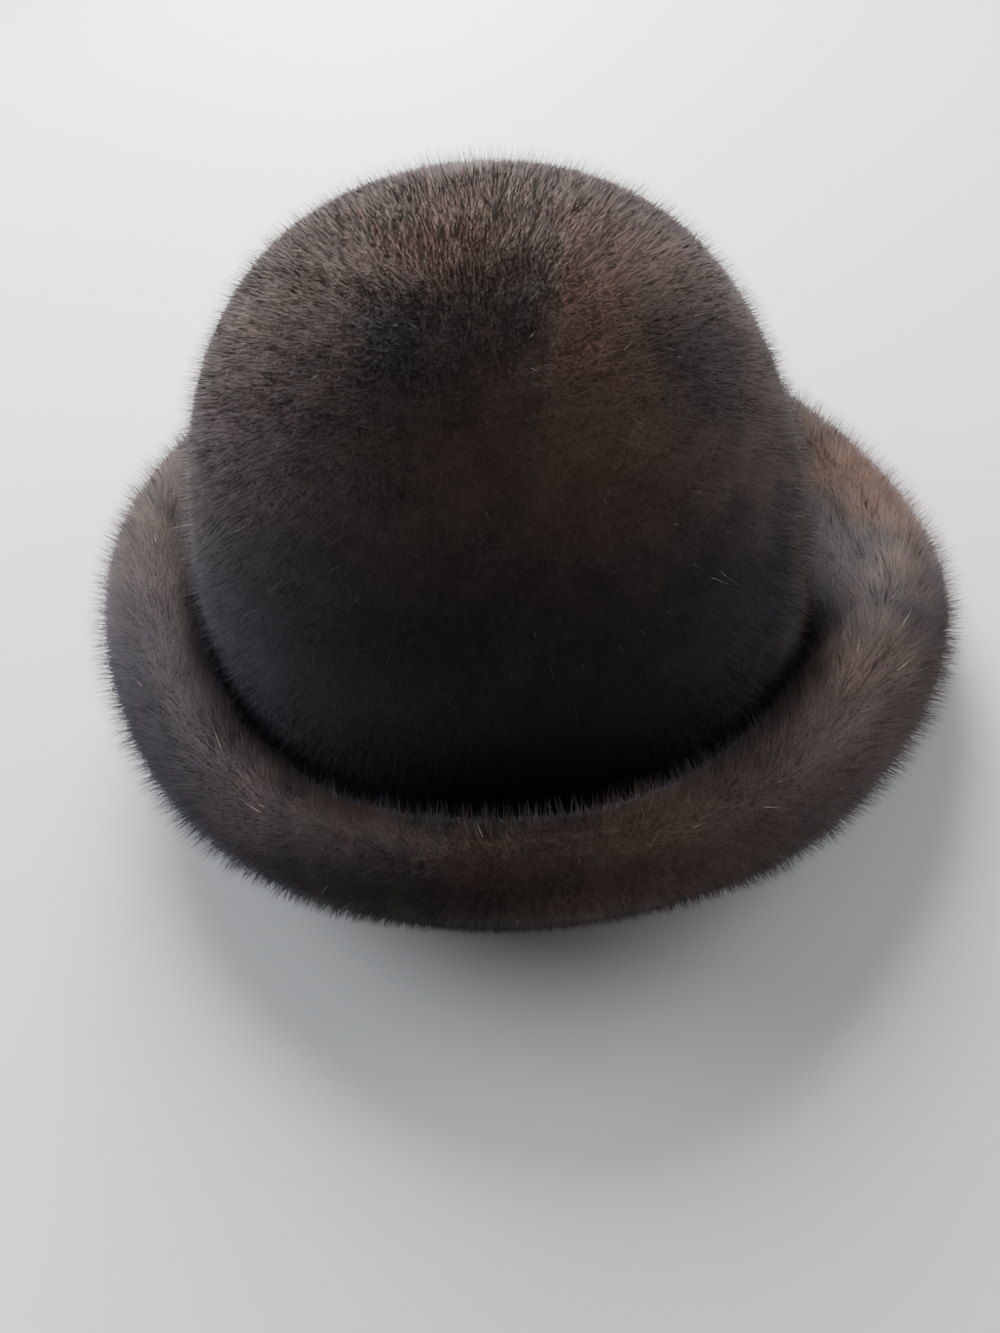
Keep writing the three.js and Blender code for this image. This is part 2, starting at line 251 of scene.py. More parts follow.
class Sheet:
    """A surface that closes round the azimuth. Share runs from 0 to 1 down its nap; round and down are unit
    directions on it, and out is its outward normal."""

    def __init__(self, points):
        self.points = points
        self.columns, self.rows = points.shape[:2]
        d_round = np.roll(points, -1, 0) - np.roll(points, 1, 0)
        d_down = np.gradient(points, axis=1)
        self.cell = np.linalg.norm(np.cross(d_round / 2, d_down), axis=2)
        self.length = np.linalg.norm(np.diff(points, axis=1), axis=2).sum(1)
        turn = np.arange(self.columns) / self.columns * TURN
        level_round = np.stack([-np.sin(turn), np.cos(turn), np.zeros(self.columns)], -1)
        flat = np.linalg.norm(d_round, axis=2) < TINY
        d_round[flat] = level_round[np.nonzero(flat)[0]]
        self.down = unit(d_down)
        self.out = unit(np.cross(d_down, d_round))
        self.round = unit(np.cross(self.out, self.down))

    def at(self, grid, azimuth, share):
        """Values of a grid of this sheet at places on it."""
        u = (azimuth / TURN % 1) * self.columns
        v = np.clip(share, 0, 1) * (self.rows - 1)
        i = np.floor(u).astype(int) % self.columns
        j = np.minimum(np.floor(v).astype(int), self.rows - 2)
        fu = (u - np.floor(u))[:, None]
        fv = (v - j)[:, None]
        after = (i + 1) % self.columns
        a = grid[i, j] * (1 - fu) + grid[after, j] * fu
        b = grid[i, j + 1] * (1 - fu) + grid[after, j + 1] * fu
        return a * (1 - fv) + b * fv

    def moved(self, azimuth, share, direction, distance):
        """Places a distance away along unit directions on the surface."""
        root = self.at(self.points, azimuth, share)
        down = np.sum(direction * self.at(self.down, azimuth, share), -1) * distance
        aside = np.sum(direction * self.at(self.round, azimuth, share), -1) * distance
        length = np.interp(azimuth / TURN * self.columns, np.arange(self.columns), self.length)
        radius = np.maximum(np.hypot(root[:, 0], root[:, 1]), LEAST_RADIUS)
        return azimuth + aside / radius, np.clip(share + down / length, 0, 1)

    def scatter(self, count, random, weight):
        """Places spread evenly over the surface's area, thinned by a weight of azimuth and share."""
        share = np.arange(self.rows) / (self.rows - 1)
        azimuth = np.arange(self.columns) / self.columns * TURN
        density = self.cell * weight(azimuth[:, None], share[None, :])
        chance = np.cumsum(density.ravel())
        pick = np.searchsorted(chance, (np.arange(count) + random.random(count)) / count * chance[-1])
        pick = np.minimum(pick, len(chance) - 1)
        i, j = np.divmod(pick, self.rows)
        a = (i + random.random(count) - 0.5) / self.columns * TURN
        s = (j + random.random(count) - 0.5) / (self.rows - 1)
        return a % TURN, np.clip(s, 0, 1)


def unit(v):
    return v / np.maximum(np.linalg.norm(v, axis=-1, keepdims=True), 1e-9)


def smooth_step(x, low, high):
    t = np.clip((x - low) / (high - low), 0, 1)
    return t * t * (3 - 2 * t)


def turned(v, axis, angle):
    """Each vector turned about its own unit axis by its own angle."""
    c, s = np.cos(angle)[:, None], np.sin(angle)[:, None]
    along = np.sum(v * axis, -1, keepdims=True)
    return v * c + np.cross(axis, v) * s + axis * along * (1 - c)


# A ripple is a sum of so many waves, each this much shorter or longer than its wavelength
RIPPLE_WAVES = 7
RIPPLE_RANGE = (0.7, 1.5)


def ripple(place, wavelength, seed):
    """A smooth uneven value round 0, mostly from -1 to 1, that varies over about a wavelength."""
    random = np.random.default_rng(seed)
    total = np.zeros(len(place))
    for _ in range(RIPPLE_WAVES):
        direction = unit(random.normal(0, 1, 3))
        length = wavelength * random.uniform(*RIPPLE_RANGE)
        total = total + np.sin(place @ direction * TURN / length + TURN * random.random())
    return total / math.sqrt(RIPPLE_WAVES / 2)


def rippled(start, place, rows):
    """A start value with a table's ripples added."""
    for row in rows:
        start = start + row["size"] * ripple(place, row["wavelength"], row["seed"])
    return start


# Surfaces

GRID_COLUMNS = 720
CROWN_GRID_ROWS = 300
BRIM_GRID_ROWS = 240
azimuths = np.arange(GRID_COLUMNS) / GRID_COLUMNS * TURN
crown_shares = np.linspace(0, 1, CROWN_GRID_ROWS)
CROWN_SHEET = Sheet(crown_skin(azimuths[:, None], 1 - crown_shares[None, :]))
BRIM_SHEET = Sheet(brim_skin_grid(azimuths, BRIM_GRID_ROWS))

# The crown's nap: turns from straight down, positive towards growing azimuth
NAP_TURNS = [
    {"azimuth": -58, "share": 0.34, "spread": 45, "turn": 30},
    {"azimuth": -118, "share": 0.38, "spread": 45, "turn": -12},
    {"azimuth": 160, "share": 0.45, "spread": 60, "turn": 14},
    {"azimuth": 20, "share": 0.55, "spread": 60, "turn": -12},
    {"azimuth": 90, "share": 0.50, "spread": 70, "turn": 10},
]
# The nap runs away from the whorl on the top, and turns to straight down between these shares of the climb
WHORL = np.array([6.0, 34.0, 0.0])
TOP_NAP = (0.52, 0.80)
# How the nap wavers, in radians, and how much it differs from hair to hair
CROWN_WAVER = [{"size": 0.20, "wavelength": 60, "seed": 21}, {"size": 0.16, "wavelength": 14, "seed": 22}]
CROWN_NAP_SPREAD = 0.16
BRIM_WAVER = [{"size": 0.22, "wavelength": 55, "seed": 23}, {"size": 0.20, "wavelength": 13, "seed": 24}]
BRIM_NAP_SPREAD = 0.2
# How soon the brim's hairs turn from one way round to the other, how far they lie downwards, and how much
# more so in between
SIDE_CHANGE = 6
BRIM_DOWNWARD = 0.30
MIDDLE_DOWNWARD = 0.5


def crown_nap(azimuth, share, random):
    """Unit directions in which the crown's hairs lie, from the whorl behind the top down to the brim."""
    climb = 1 - share
    down = CROWN_SHEET.at(CROWN_SHEET.down, azimuth, share)
    out = CROWN_SHEET.at(CROWN_SHEET.out, azimuth, share)
    place = CROWN_SHEET.at(CROWN_SHEET.points, azimuth, share)
    away = place - WHORL
    away[:, 2] = 0
    away = unit(away)
    away = unit(away - out * np.sum(away * out, -1, keepdims=True))
    top = smooth_step(climb, *TOP_NAP)[:, None]
    nap = unit(down * (1 - top) + away * top)
    turn = np.radians(patch_sum(CROWN_SHEET, NAP_TURNS, "turn", place, azimuth, share))
    turn = rippled(turn, place, CROWN_WAVER) + random.normal(0, CROWN_NAP_SPREAD, len(azimuth))
    return turned(nap, out, turn)


def brim_nap(azimuth, share, random):
    """The brim's hairs lie round it, away from the middle of the near side on both ways."""
    around_dir = BRIM_SHEET.at(BRIM_SHEET.round, azimuth, share)
    down = BRIM_SHEET.at(BRIM_SHEET.down, azimuth, share)
    out = BRIM_SHEET.at(BRIM_SHEET.out, azimuth, share)
    side = np.tanh(np.cos(azimuth) * SIDE_CHANGE)[:, None]
    nap = unit(around_dir * side + down * (BRIM_DOWNWARD + MIDDLE_DOWNWARD * (1 - side**2)))
    place = BRIM_SHEET.at(BRIM_SHEET.points, azimuth, share)
    turn = rippled(0, place, BRIM_WAVER) + random.normal(0, BRIM_NAP_SPREAD, len(azimuth))
    return turned(nap, out, turn)


# Colour patches of the pelts, some of them painted shade and light: tone is darker or lighter, red is redder
# or greyer, and side keeps a patch left (-1) or right (1) of the crown's middle seam; a crisp patch has an
# even middle and a short edge. Rows marked as painted stand in for the lamps' shade, light or cool sheen; the
# others are the pelts' own colour
CROWN_TONES_AND_PAINTED_SHADING = [
    {"azimuth": -96, "share": 0.175, "spread": 23, "tone": -0.75, "red": 0.05, "side": -1, "crisp": 4},
    {"azimuth": -112, "share": 0.28, "spread": 28, "tone": -0.30, "red": 0.0, "side": -1},
    # Painted light: a lighter middle of the near side, which the lamps from behind hardly reach
    {"azimuth": -91, "share": 0.37, "spread": 34, "tone": 1.30, "red": 0.0},
    # Darker, greyer low near side: partly the darker pelts there, partly painted cool shade down by the brim
    {"azimuth": -99, "share": 0.76, "spread": 82, "tone": -1.60, "red": -1.1},
    {"azimuth": -138, "share": 0.66, "spread": 38, "tone": -0.80, "red": -0.5},
    {"azimuth": -50, "share": 0.70, "spread": 34, "tone": -0.40, "red": -0.3},
    {"azimuth": -66, "share": 0.29, "spread": 30, "tone": 0.35, "red": 0.75, "side": 1},
    {"azimuth": -50, "share": 0.14, "spread": 26, "tone": 0.25, "red": 0.45, "side": 1},
    {"azimuth": -39, "share": 0.34, "spread": 19, "tone": -1.10, "red": -0.4, "side": 1, "crisp": 3},
    # Painted light and painted cool sheen: a lighter, greyer right shoulder
    {"azimuth": -25, "share": 0.39, "spread": 28, "tone": 1.30, "red": -0.5},
    {"azimuth": -100, "share": 0.07, "spread": 15, "tone": 0.30, "red": 0.7, "side": -1},
    {"azimuth": 170, "share": 0.16, "spread": 40, "tone": -0.05, "red": 0.25, "side": -1},
    {"azimuth": 60, "share": 0.08, "spread": 30, "tone": 0.05, "red": 0.2},
    # Painted light and painted cool sheen: a lighter, greyer left shoulder
    {"azimuth": -155, "share": 0.42, "spread": 36, "tone": 1.25, "red": -0.7},
    {"azimuth": -150, "share": 0.22, "spread": 32, "tone": -0.50, "red": 0.15},
    {"azimuth": 130, "share": 0.32, "spread": 45, "tone": -0.45, "red": 0.2},
    {"azimuth": 50, "share": 0.34, "spread": 45, "tone": -0.45, "red": 0.3},
    # Painted shade: a darker back and back sides, against the key light from behind
    {"azimuth": 90, "share": 0.52, "spread": 60, "tone": -0.75, "red": -0.1},
    {"azimuth": 145, "share": 0.72, "spread": 60, "tone": -0.65, "red": 0.0},
    {"azimuth": 35, "share": 0.72, "spread": 60, "tone": -0.65, "red": 0.0},
]
BRIM_TONES_AND_PAINTED_SHADING = [
    {"azimuth": -98, "share": 0.45, "spread": 12, "tone": 0.15, "red": 0.5},
    {"azimuth": -100, "share": 0.53, "spread": 24, "tone": -0.35, "red": -0.2},
    # Painted shade: darker under the near rim, down by the floor
    {"azimuth": -78, "share": 0.80, "spread": 20, "tone": -0.7, "red": -0.2},
    {"azimuth": -104, "share": 0.80, "spread": 20, "tone": -0.7, "red": -0.2},
    {"azimuth": -66, "share": 0.56, "spread": 32, "tone": 0.40, "red": -0.6},
    {"azimuth": -115, "share": 0.54, "spread": 30, "tone": -0.75, "red": -0.4},
    {"azimuth": -113, "share": 0.36, "spread": 14, "tone": 0.15, "red": 0.7},
    {"azimuth": -78, "share": 0.38, "spread": 14, "tone": 0.15, "red": 0.5},
    # Painted cool sheen: the brim's left side greyer
    {"azimuth": -160, "share": 0.54, "spread": 42, "tone": -0.10, "red": -1.4},
    {"azimuth": -137, "share": 0.60, "spread": 30, "tone": 0.0, "red": -1.0},
    {"azimuth": 172, "share": 0.38, "spread": 28, "tone": -0.35, "red": 0.1},
    {"azimuth": -48, "share": 0.50, "spread": 32, "tone": 0.85, "red": -0.7},
    # Painted shade: the brim's inner wall on the right, where the crown shades it
    {"azimuth": -27, "share": 0.33, "spread": 20, "tone": -0.25, "red": -0.05},
    {"azimuth": -20, "share": 0.40, "spread": 26, "tone": -0.50, "red": -0.2},
    {"azimuth": 5, "share": 0.34, "spread": 32, "tone": 0.25, "red": 0.45},
    # Painted shade: the dark gutter between brim and crown, round the right and the near side
    {"azimuth": 6, "share": 0.08, "spread": 10, "tone": -0.8, "red": -0.4},
    {"azimuth": 5, "share": 0.17, "spread": 13, "tone": -0.8, "red": -0.7, "crisp": 3},
    {"azimuth": -6, "share": 0.22, "spread": 14, "tone": -0.9, "red": -0.7, "crisp": 3},
    {"azimuth": -4, "share": 0.09, "spread": 11, "tone": -1.0, "red": -0.5},
    {"azimuth": -14, "share": 0.11, "spread": 12, "tone": -1.0, "red": -0.5},
    {"azimuth": -24, "share": 0.12, "spread": 12, "tone": -1.0, "red": -0.5},
    {"azimuth": -35, "share": 0.12, "spread": 12, "tone": -0.9, "red": -0.4},
    {"azimuth": -48, "share": 0.12, "spread": 14, "tone": -0.6, "red": -0.3},
    # Painted shade: a darker back of the brim, against the key light from behind, and darker under the rim at
    # both sides
    {"azimuth": 90, "share": 0.50, "spread": 75, "tone": -0.70, "red": 0.1},
    {"azimuth": 45, "share": 0.66, "spread": 55, "tone": -0.60, "red": 0.0},
    {"azimuth": 135, "share": 0.66, "spread": 55, "tone": -0.60, "red": 0.0},
    {"azimuth": 10, "share": 0.76, "spread": 30, "tone": -0.60, "red": 0.0},
    {"azimuth": 170, "share": 0.80, "spread": 30, "tone": -0.60, "red": 0.0},
]
# The crown's middle seam, from the top down to the brim: how far it is aside
CROWN_SEAM = [
    {"share": 0.00, "aside": 26.0},
    {"share": 0.11, "aside": 24.0},
    {"share": 0.24, "aside": 14.5},
    {"share": 0.44, "aside": 1.5},
    {"share": 0.70, "aside": -10.0},
    {"share": 1.00, "aside": -14.0},
]
SEAM_SOFTNESS = 2.0
# Added to the tone of the few stray pale hairs, and the tone from which a hair turns pale; spread all over,
# the pale hairs are partly real stray hairs and partly painted glints
PALE_TONE = 3.0
PALE_FROM = 1.8
# The small unevenness of tone from place to place
TONE_WAVER = [{"size": 0.12, "wavelength": 12, "seed": 27}]
SOFT_PATCH = 2


def seam_side(place, share):
    """From -1 left of the crown's middle seam to 1 right of it."""
    seam = np.interp(share, [r["share"] for r in CROWN_SEAM], [r["aside"] for r in CROWN_SEAM])
    return np.tanh((place[:, 0] - seam) / SEAM_SOFTNESS)


def patch_sum(sheet, table, column, place, azimuth, share):
    """The sum of a table's soft round patches at places on a sheet."""
    total = np.zeros(len(azimuth))
    for row in table:
        middle = sheet.at(sheet.points, np.array([math.radians(row["azimuth"])]), np.array([row["share"]]))
        reach = np.linalg.norm(place - middle, axis=-1) / row["spread"]
        amount = row[column] * np.exp(-(reach ** row.get("crisp", SOFT_PATCH)))
        if "side" in row:
            amount = amount * (0.5 + 0.5 * row["side"] * seam_side(place, share))
        total = total + amount
    return total


def points_to_metres(points):
    return (points + CROWN_MIDDLE) * MM


def new_mesh_object(name, points, corners, loop_starts):
    """A smooth-shaded mesh of points in millimetres, with the corners of its faces one after the other."""
    mesh = bpy.data.meshes.new(name)
    mesh.vertices.add(len(points))
    mesh.vertices.foreach_set("co", points_to_metres(points).astype(np.float32).ravel())
    mesh.loops.add(len(corners))
    mesh.loops.foreach_set("vertex_index", corners.astype(np.int32))
    mesh.polygons.add(len(loop_starts))
    mesh.polygons.foreach_set("loop_start", loop_starts.astype(np.int32))
    mesh.polygons.foreach_set("use_smooth", np.ones(len(loop_starts), bool))
    mesh.update(calc_edges=True)
    mesh.validate()
    obj = bpy.data.objects.new(name, mesh)
    bpy.context.scene.collection.objects.link(obj)
    return obj


def vertex_values(obj, name, values):
    """Stores a number or a vector for each point of a mesh."""
    kind = "FLOAT_VECTOR" if values.ndim == 2 else "FLOAT"
    attribute = obj.data.attributes.new(name, kind, "POINT")
    attribute.data.foreach_set("vector" if values.ndim == 2 else "value", values.astype(np.float32).ravel())


# Each hair is one triangle, so a piece stays under the limit of 200,000
HAIRS_A_PIECE = 198000
# A hair starts this deep under the skin, and no point of it comes nearer to the floor than this
ROOT_DEPTH = 0.6
FLOOR_GAP = 0.35
# The shortest and longest hairs to the mean, and the least and most lift
LENGTH_LIMITS = (0.45, 1.6)
LIFT_LIMITS = (20, 105)
# How the lift wavers from place to place and from hair to hair, and the short hairs' share of the lift
LIFT_WAVER = [{"size": 3, "wavelength": 13, "seed": 25}, {"size": 3, "wavelength": 40, "seed": 26}]
LIFT_SPREAD = 8
SHORT_LIFT = 0.60
# How far a tip bends aside, as a share of the hair's length, and how many steps its way is added up in
SIDE_BEND = 0.10
BEND_STEPS = 4
# Clumps draw their tips together from no farther than this, their middles stray by this share of a cell, and
# their columns sway by this much at this pace
CLUMP_REACH = 6.0
CLUMP_STRAY = 0.8
CLUMP_SWAY = 0.35
CLUMP_SWAY_PACE = 2.1
# A hair has the pelt's colour at this share of the way to its tip
COLOUR_REACH = 0.7
# Hairs turn their front face from along the skin's normal to the camera between these cosines of the skin's
# angle to it, and the long guard hairs only off the outline
TURNS_TO_CAMERA = (-0.25, 0.15)
LONG_TURNS_TO_CAMERA = (0.02, 0.18)


class Hair:
    """How one kind of hair grows. Lift is its angle from the skin, flatten the share of it lost up to the
    tip, spread the unevenness of length, and softness how far the shading follows the skin. Long_share of
    the hairs have the full length, and the others are short."""

    def __init__(self, length, width, lift, flatten, spread, clump, seed,
                 softness, long_share=1.0, short=1.0, pale_share=0.0):
        self.length = length
        self.width = width
        self.lift = lift
        self.flatten = flatten
        self.spread = spread
        self.clump = clump
        self.seed = seed
        self.softness = softness
        self.long_share = long_share
        self.short = short
        self.pale_share = pale_share


class Coat:
    """Where and how a part's fur grows. The skin under a hair bends away with the curve radius, and clumps
    sit in so many cells round the part and down it."""

    def __init__(self, sheet, nap, weight, lift_of, length_of, curve_radius, clump_cells, tones):
        self.sheet = sheet
        self.nap = nap
        self.weight = weight
        self.lift_of = lift_of
        self.length_of = length_of
        self.curve_radius = curve_radius
        self.clump_cells = clump_cells
        self.tones = tones


class Roots:
    """Where a piece's hairs start, and the skin's normal and the way that they lie there."""

    def __init__(self, coat, random):
        sheet = coat.sheet
        self.azimuth, self.share = sheet.scatter(HAIRS_A_PIECE, random, coat.weight)
        self.place = sheet.at(sheet.points, self.azimuth, self.share)
        self.out = unit(sheet.at(sheet.out, self.azimuth, self.share))
        self.lie = coat.nap(self.azimuth, self.share, random)


def hair_sizes(hair, coat, roots, random):
    """Each hair's length, its lift in radians, and whether it is a long one."""
    n = HAIRS_A_PIECE
    length = hair.length * np.clip(1 + hair.spread * random.normal(0, 1, n), *LENGTH_LIMITS)
    long = random.random(n) < hair.long_share
    length = length * np.where(long, 1.0, hair.short)
    lift = rippled(hair.lift * np.where(long, 1.0, SHORT_LIFT), roots.place, LIFT_WAVER)
    lift = np.radians(np.clip(lift + LIFT_SPREAD * random.normal(0, 1, n), *LIFT_LIMITS))
    lift = lift * coat.lift_of(roots.azimuth, roots.share)
    length = length * coat.length_of(roots.azimuth, roots.share)
    return length, lift, long


def tip_reach(length, lift, flatten):
    """How far a hair's tip is along the skin and up from it, when the hair flattens on its way."""
    along = np.zeros(len(length))
    up = np.zeros(len(length))
    for step in range(BEND_STEPS):
        t = (step + 0.5) / BEND_STEPS
        angle = lift * (1 - flatten * t)
        along = along + np.cos(angle) * length / BEND_STEPS
        up = up + np.sin(angle) * length / BEND_STEPS
    return along, up


def clump_pull(coat, roots, random):
    """From each root along the skin to the middle of its clump."""
    columns, rows = coat.clump_cells
    sway = CLUMP_SWAY * np.sin(roots.share * rows * CLUMP_SWAY_PACE)
    cell_u = np.floor(roots.azimuth / TURN * columns + sway).astype(int) % columns
    cell_v = np.floor(roots.share * rows).astype(int)
    stray = random.random((columns, rows + 1, 2)) * CLUMP_STRAY - CLUMP_STRAY / 2
    azimuth = (cell_u + 0.5 + stray[cell_u, cell_v, 0]) / columns * TURN
    share = (cell_v + 0.5 + stray[cell_u, cell_v, 1]) / rows
    pull = coat.sheet.at(coat.sheet.points, azimuth, np.clip(share, 0, 1)) - roots.place
    pull = pull - roots.out * np.sum(pull * roots.out, -1, keepdims=True)
    reach = np.linalg.norm(pull, axis=-1, keepdims=True)
    return pull * np.minimum(1, CLUMP_REACH / np.maximum(reach, TINY))


def front_to_camera(across, directions, roots, hair, long):
    """The directions across the hairs, turned round where a front face would look away."""
    to_camera = unit(CAMERA_PLACE - roots.place)
    facing = np.sum(to_camera * roots.out, -1)
    seen = smooth_step(facing, *TURNS_TO_CAMERA)
    if hair.long_share < 1:
        seen = np.where(long, smooth_step(facing, *LONG_TURNS_TO_CAMERA), seen)
    front = roots.out * (1 - seen)[:, None] + to_camera * seen[:, None]
    away = np.sum(np.cross(across, directions) * front, -1, keepdims=True) < 0
    return np.where(away, -across, across)


def shade_softly(obj, hair, directions, across, out):
    """Gives each hair one normal, mostly the skin's, so that the fur shades as one surface."""
    flat_normal = unit(np.cross(directions, across))
    flat_normal = flat_normal * np.where(np.sum(flat_normal * out, -1, keepdims=True) < 0, -1, 1)
    soft_normal = unit(out * hair.softness + flat_normal * (1 - hair.softness))
    obj.data.normals_split_custom_set_from_vertices(np.repeat(soft_normal, 3, axis=0))


def store_colours(obj, hair, coat, roots, reach, strand, random):
    """Stores what the fur's material reads: each hair takes the pelt's colours, with their painted shade and
    light, near its tip.
    """
    sheet = coat.sheet
    azimuth, share = sheet.moved(roots.azimuth, roots.share, roots.lie, reach * COLOUR_REACH)
    place = sheet.at(sheet.points, azimuth, share)
    tone = rippled(patch_sum(sheet, coat.tones, "tone", place, azimuth, share), place, TONE_WAVER)
    # A few hairs turn pale: stray pale hairs, partly painted glints
    tone = tone + PALE_TONE * (random.random(HAIRS_A_PIECE) < hair.pale_share)
    red = patch_sum(sheet, coat.tones, "red", place, azimuth, share)
    vertex_values(obj, "along", np.tile([0.0, 0.0, 1.0], HAIRS_A_PIECE))
    vertex_values(obj, "strand", np.repeat(strand, 3))
    vertex_values(obj, "tone", np.repeat(tone, 3))
    vertex_values(obj, "red", np.repeat(red, 3))
    vertex_values(obj, "root_place", np.repeat(points_to_metres(roots.place), 3, axis=0))


def grow(name, hair, coat):
    """One mesh of thin pointed triangles, one for each hair."""
    random = np.random.default_rng(hair.seed)
    n = HAIRS_A_PIECE
    roots = Roots(coat, random)
    length, lift, long = hair_sizes(hair, coat, roots, random)
    side_bend = random.normal(0, SIDE_BEND, n)
    strand = random.random(n)

    out, lie = roots.out, roots.lie
    reach, rise = tip_reach(length, lift, hair.flatten)
    drop = reach**2 / (2 * coat.curve_radius)
    aside = np.cross(out, lie) * (side_bend * length)[:, None]
    start = roots.place - out * ROOT_DEPTH
    tip = roots.place + lie * reach[:, None] + out * (rise - drop)[:, None] + aside
    if hair.clump > 0:
        tip = tip + clump_pull(coat, roots, random) * hair.clump
    directions = unit(tip - start)
    across = unit(np.cross(directions, out))
    across = turned(across, directions, random.uniform(-1, 1, n) * math.pi / 2)
    across = front_to_camera(across, directions, roots, hair, long)
    half = across * hair.width / 2
    points = np.stack([start - half, start + half, tip], 1)
    points[..., 2] = np.maximum(points[..., 2], FLOOR_GAP)

    obj = new_mesh_object(name, points.reshape(-1, 3), np.arange(3 * n), np.arange(n) * 3)
    shade_softly(obj, hair, directions, across, out)
    store_colours(obj, hair, coat, roots, reach, strand, random)
    bake_map(obj, roots.azimuth, roots.share)
    return obj


def bake_map(obj, azimuth, share):
    """A map that lays each hair where its root is on the unrolled pelt."""
    half = 0.5 / math.sqrt(len(azimuth))
    room = 1 - 2 * half
    u = azimuth[:, None] / TURN * room + half + np.array([-half, half, 0.0])
    v = share[:, None] * room + np.array([0.0, 0.0, 2 * half])
    layer = obj.data.uv_layers.new(name="OFBake")
    layer.data.foreach_set("uv", np.stack([u, v], -1).astype(np.float32).ravel())


# Materials

def node_material(name):
    material = bpy.data.materials.new(name)
    material.use_nodes = True
    tree = material.node_tree
    shader = tree.nodes["Principled BSDF"]
    return material, tree, shader


def attribute(tree, name):
    node = tree.nodes.new("ShaderNodeAttribute")
    node.attribute_name = name
    return node


def math_node(tree, operation, a, b=None, clamp=False):
    node = tree.nodes.new("ShaderNodeMath")
    node.operation = operation
    node.use_clamp = clamp
    for socket, value in zip(node.inputs, (a, b)):
        if value is None:
            continue
        if isinstance(value, (int, float)):
            socket.default_value = value
        else:
            tree.links.new(value, socket)
    return node.outputs[0]


# Which of the mix node's sockets are for colours
MIX_A = 6
MIX_B = 7
MIX_RESULT = 2


def mix_colour(tree, factor, a, b, blend="MIX"):
    node = tree.nodes.new("ShaderNodeMix")
    node.data_type = "RGBA"
    node.blend_type = blend
    for socket, value in ((node.inputs["Factor"], factor), (node.inputs[MIX_A], a), (node.inputs[MIX_B], b)):
        if isinstance(value, (int, float)):
            socket.default_value = value
        elif isinstance(value, tuple):
            socket.default_value = (*value, 1)
        else:
            tree.links.new(value, socket)
    return node.outputs[MIX_RESULT]


def noise(tree, vector, scale, detail, roughness):
    node = tree.nodes.new("ShaderNodeTexNoise")
    node.inputs["Scale"].default_value = scale
    node.inputs["Detail"].default_value = detail
    node.inputs["Roughness"].default_value = roughness
    tree.links.new(vector, node.inputs["Vector"])
    return node.outputs["Fac"]


DARK_BROWN = (0.0115, 0.0097, 0.0098)
MID_BROWN = (0.052, 0.034, 0.028)
LIGHT_BROWN = (0.150, 0.097, 0.075)
RED_BROWN = (0.125, 0.060, 0.036)
# A cool grey that negative red mixes in; where the patches grey the gutter, the low near side, the brim's
# left and the shoulders, it is painted cool shade and sheen
GREY_BROWN = (0.036, 0.032, 0.038)
PALE_BROWN = (0.33, 0.27, 0.23)
BROAD_NOISE = {"scale": 22.0, "detail": 2.0, "roughness": 0.55}
SMALL_NOISE = {"scale": 130.0, "detail": 3.0, "roughness": 0.65}
UNDERFUR_NOISE = {"scale": 900.0, "detail": 2.0, "roughness": 0.6}
CLOTH_NOISE = {"scale": 1400.0, "detail": 2.0, "roughness": 0.6}
# The share of each part in the shade from dark to light, the middle that the mottles are taken from, and how
# far the mid brown evens the shades
BROAD_MOTTLES = 0.7
SMALL_MOTTLES = 0.6
TONE_SHARE = 0.55
MIDDLE_SHADE = 0.55
MID_BROWN_SHARE = 0.24
REDNESS = 0.55
GREYNESS = -0.6
STRAND_SHARE = 0.4
UNDERFUR_SHARE = 0.5
# Fur and underfur shine little, and the fur's sheen is cool
FUR_SPECULAR = 0.16
SHEEN_ROUGHNESS = 0.40
SHEEN_TINT = (0.80, 0.85, 1.0)
SKIN_ROUGHNESS = 0.85
# The skin is this much lighter: partly mink's lighter underfur, partly painted light that offsets the shade
# under the hairs
SKIN_SHADE = 1.2
CLOTH_ROUGHNESS = 0.9
CLOTH_COLOURS = ((0.020, 0.015, 0.013), (0.040, 0.030, 0.026))


def scaled_sum(tree, first, second, scale):
    """The first value with the second one added at a scale."""
    return math_node(tree, "ADD", first, math_node(tree, "MULTIPLY", second, scale))


def shaded(tree, colour, shade):
    return mix_colour(tree, 1.0, colour, (shade, shade, shade), "MULTIPLY")


def set_bump(tree, shader, height, strength, distance):
    bump = tree.nodes.new("ShaderNodeBump")
    bump.inputs["Strength"].default_value = strength
    bump.inputs["Distance"].default_value = distance
    tree.links.new(height, bump.inputs["Height"])
    tree.links.new(bump.outputs["Normal"], shader.inputs["Normal"])


def pelt_colour(tree, place, tone, red, lightness):
    """The fur's shade at a place on the pelt: broad and small mottles, and the colour patches with their
    painted shade and light.
    """
    broad = noise(tree, place, **BROAD_NOISE)
    small = noise(tree, place, **SMALL_NOISE)
    shade = scaled_sum(tree, math_node(tree, "MULTIPLY", broad, BROAD_MOTTLES), small, SMALL_MOTTLES)
    shade = scaled_sum(tree, shade, tone, TONE_SHARE)
    shade = math_node(tree, "ADD", shade, lightness - MIDDLE_SHADE, clamp=True)
    body = mix_colour(tree, shade, DARK_BROWN, LIGHT_BROWN)
    body = mix_colour(tree, MID_BROWN_SHARE, body, MID_BROWN)
    reddish = math_node(tree, "MULTIPLY", red, REDNESS, clamp=True)
    greyish = math_node(tree, "MULTIPLY", red, GREYNESS, clamp=True)
    body = mix_colour(tree, reddish, body, RED_BROWN)
    return mix_colour(tree, greyish, body, GREY_BROWN)


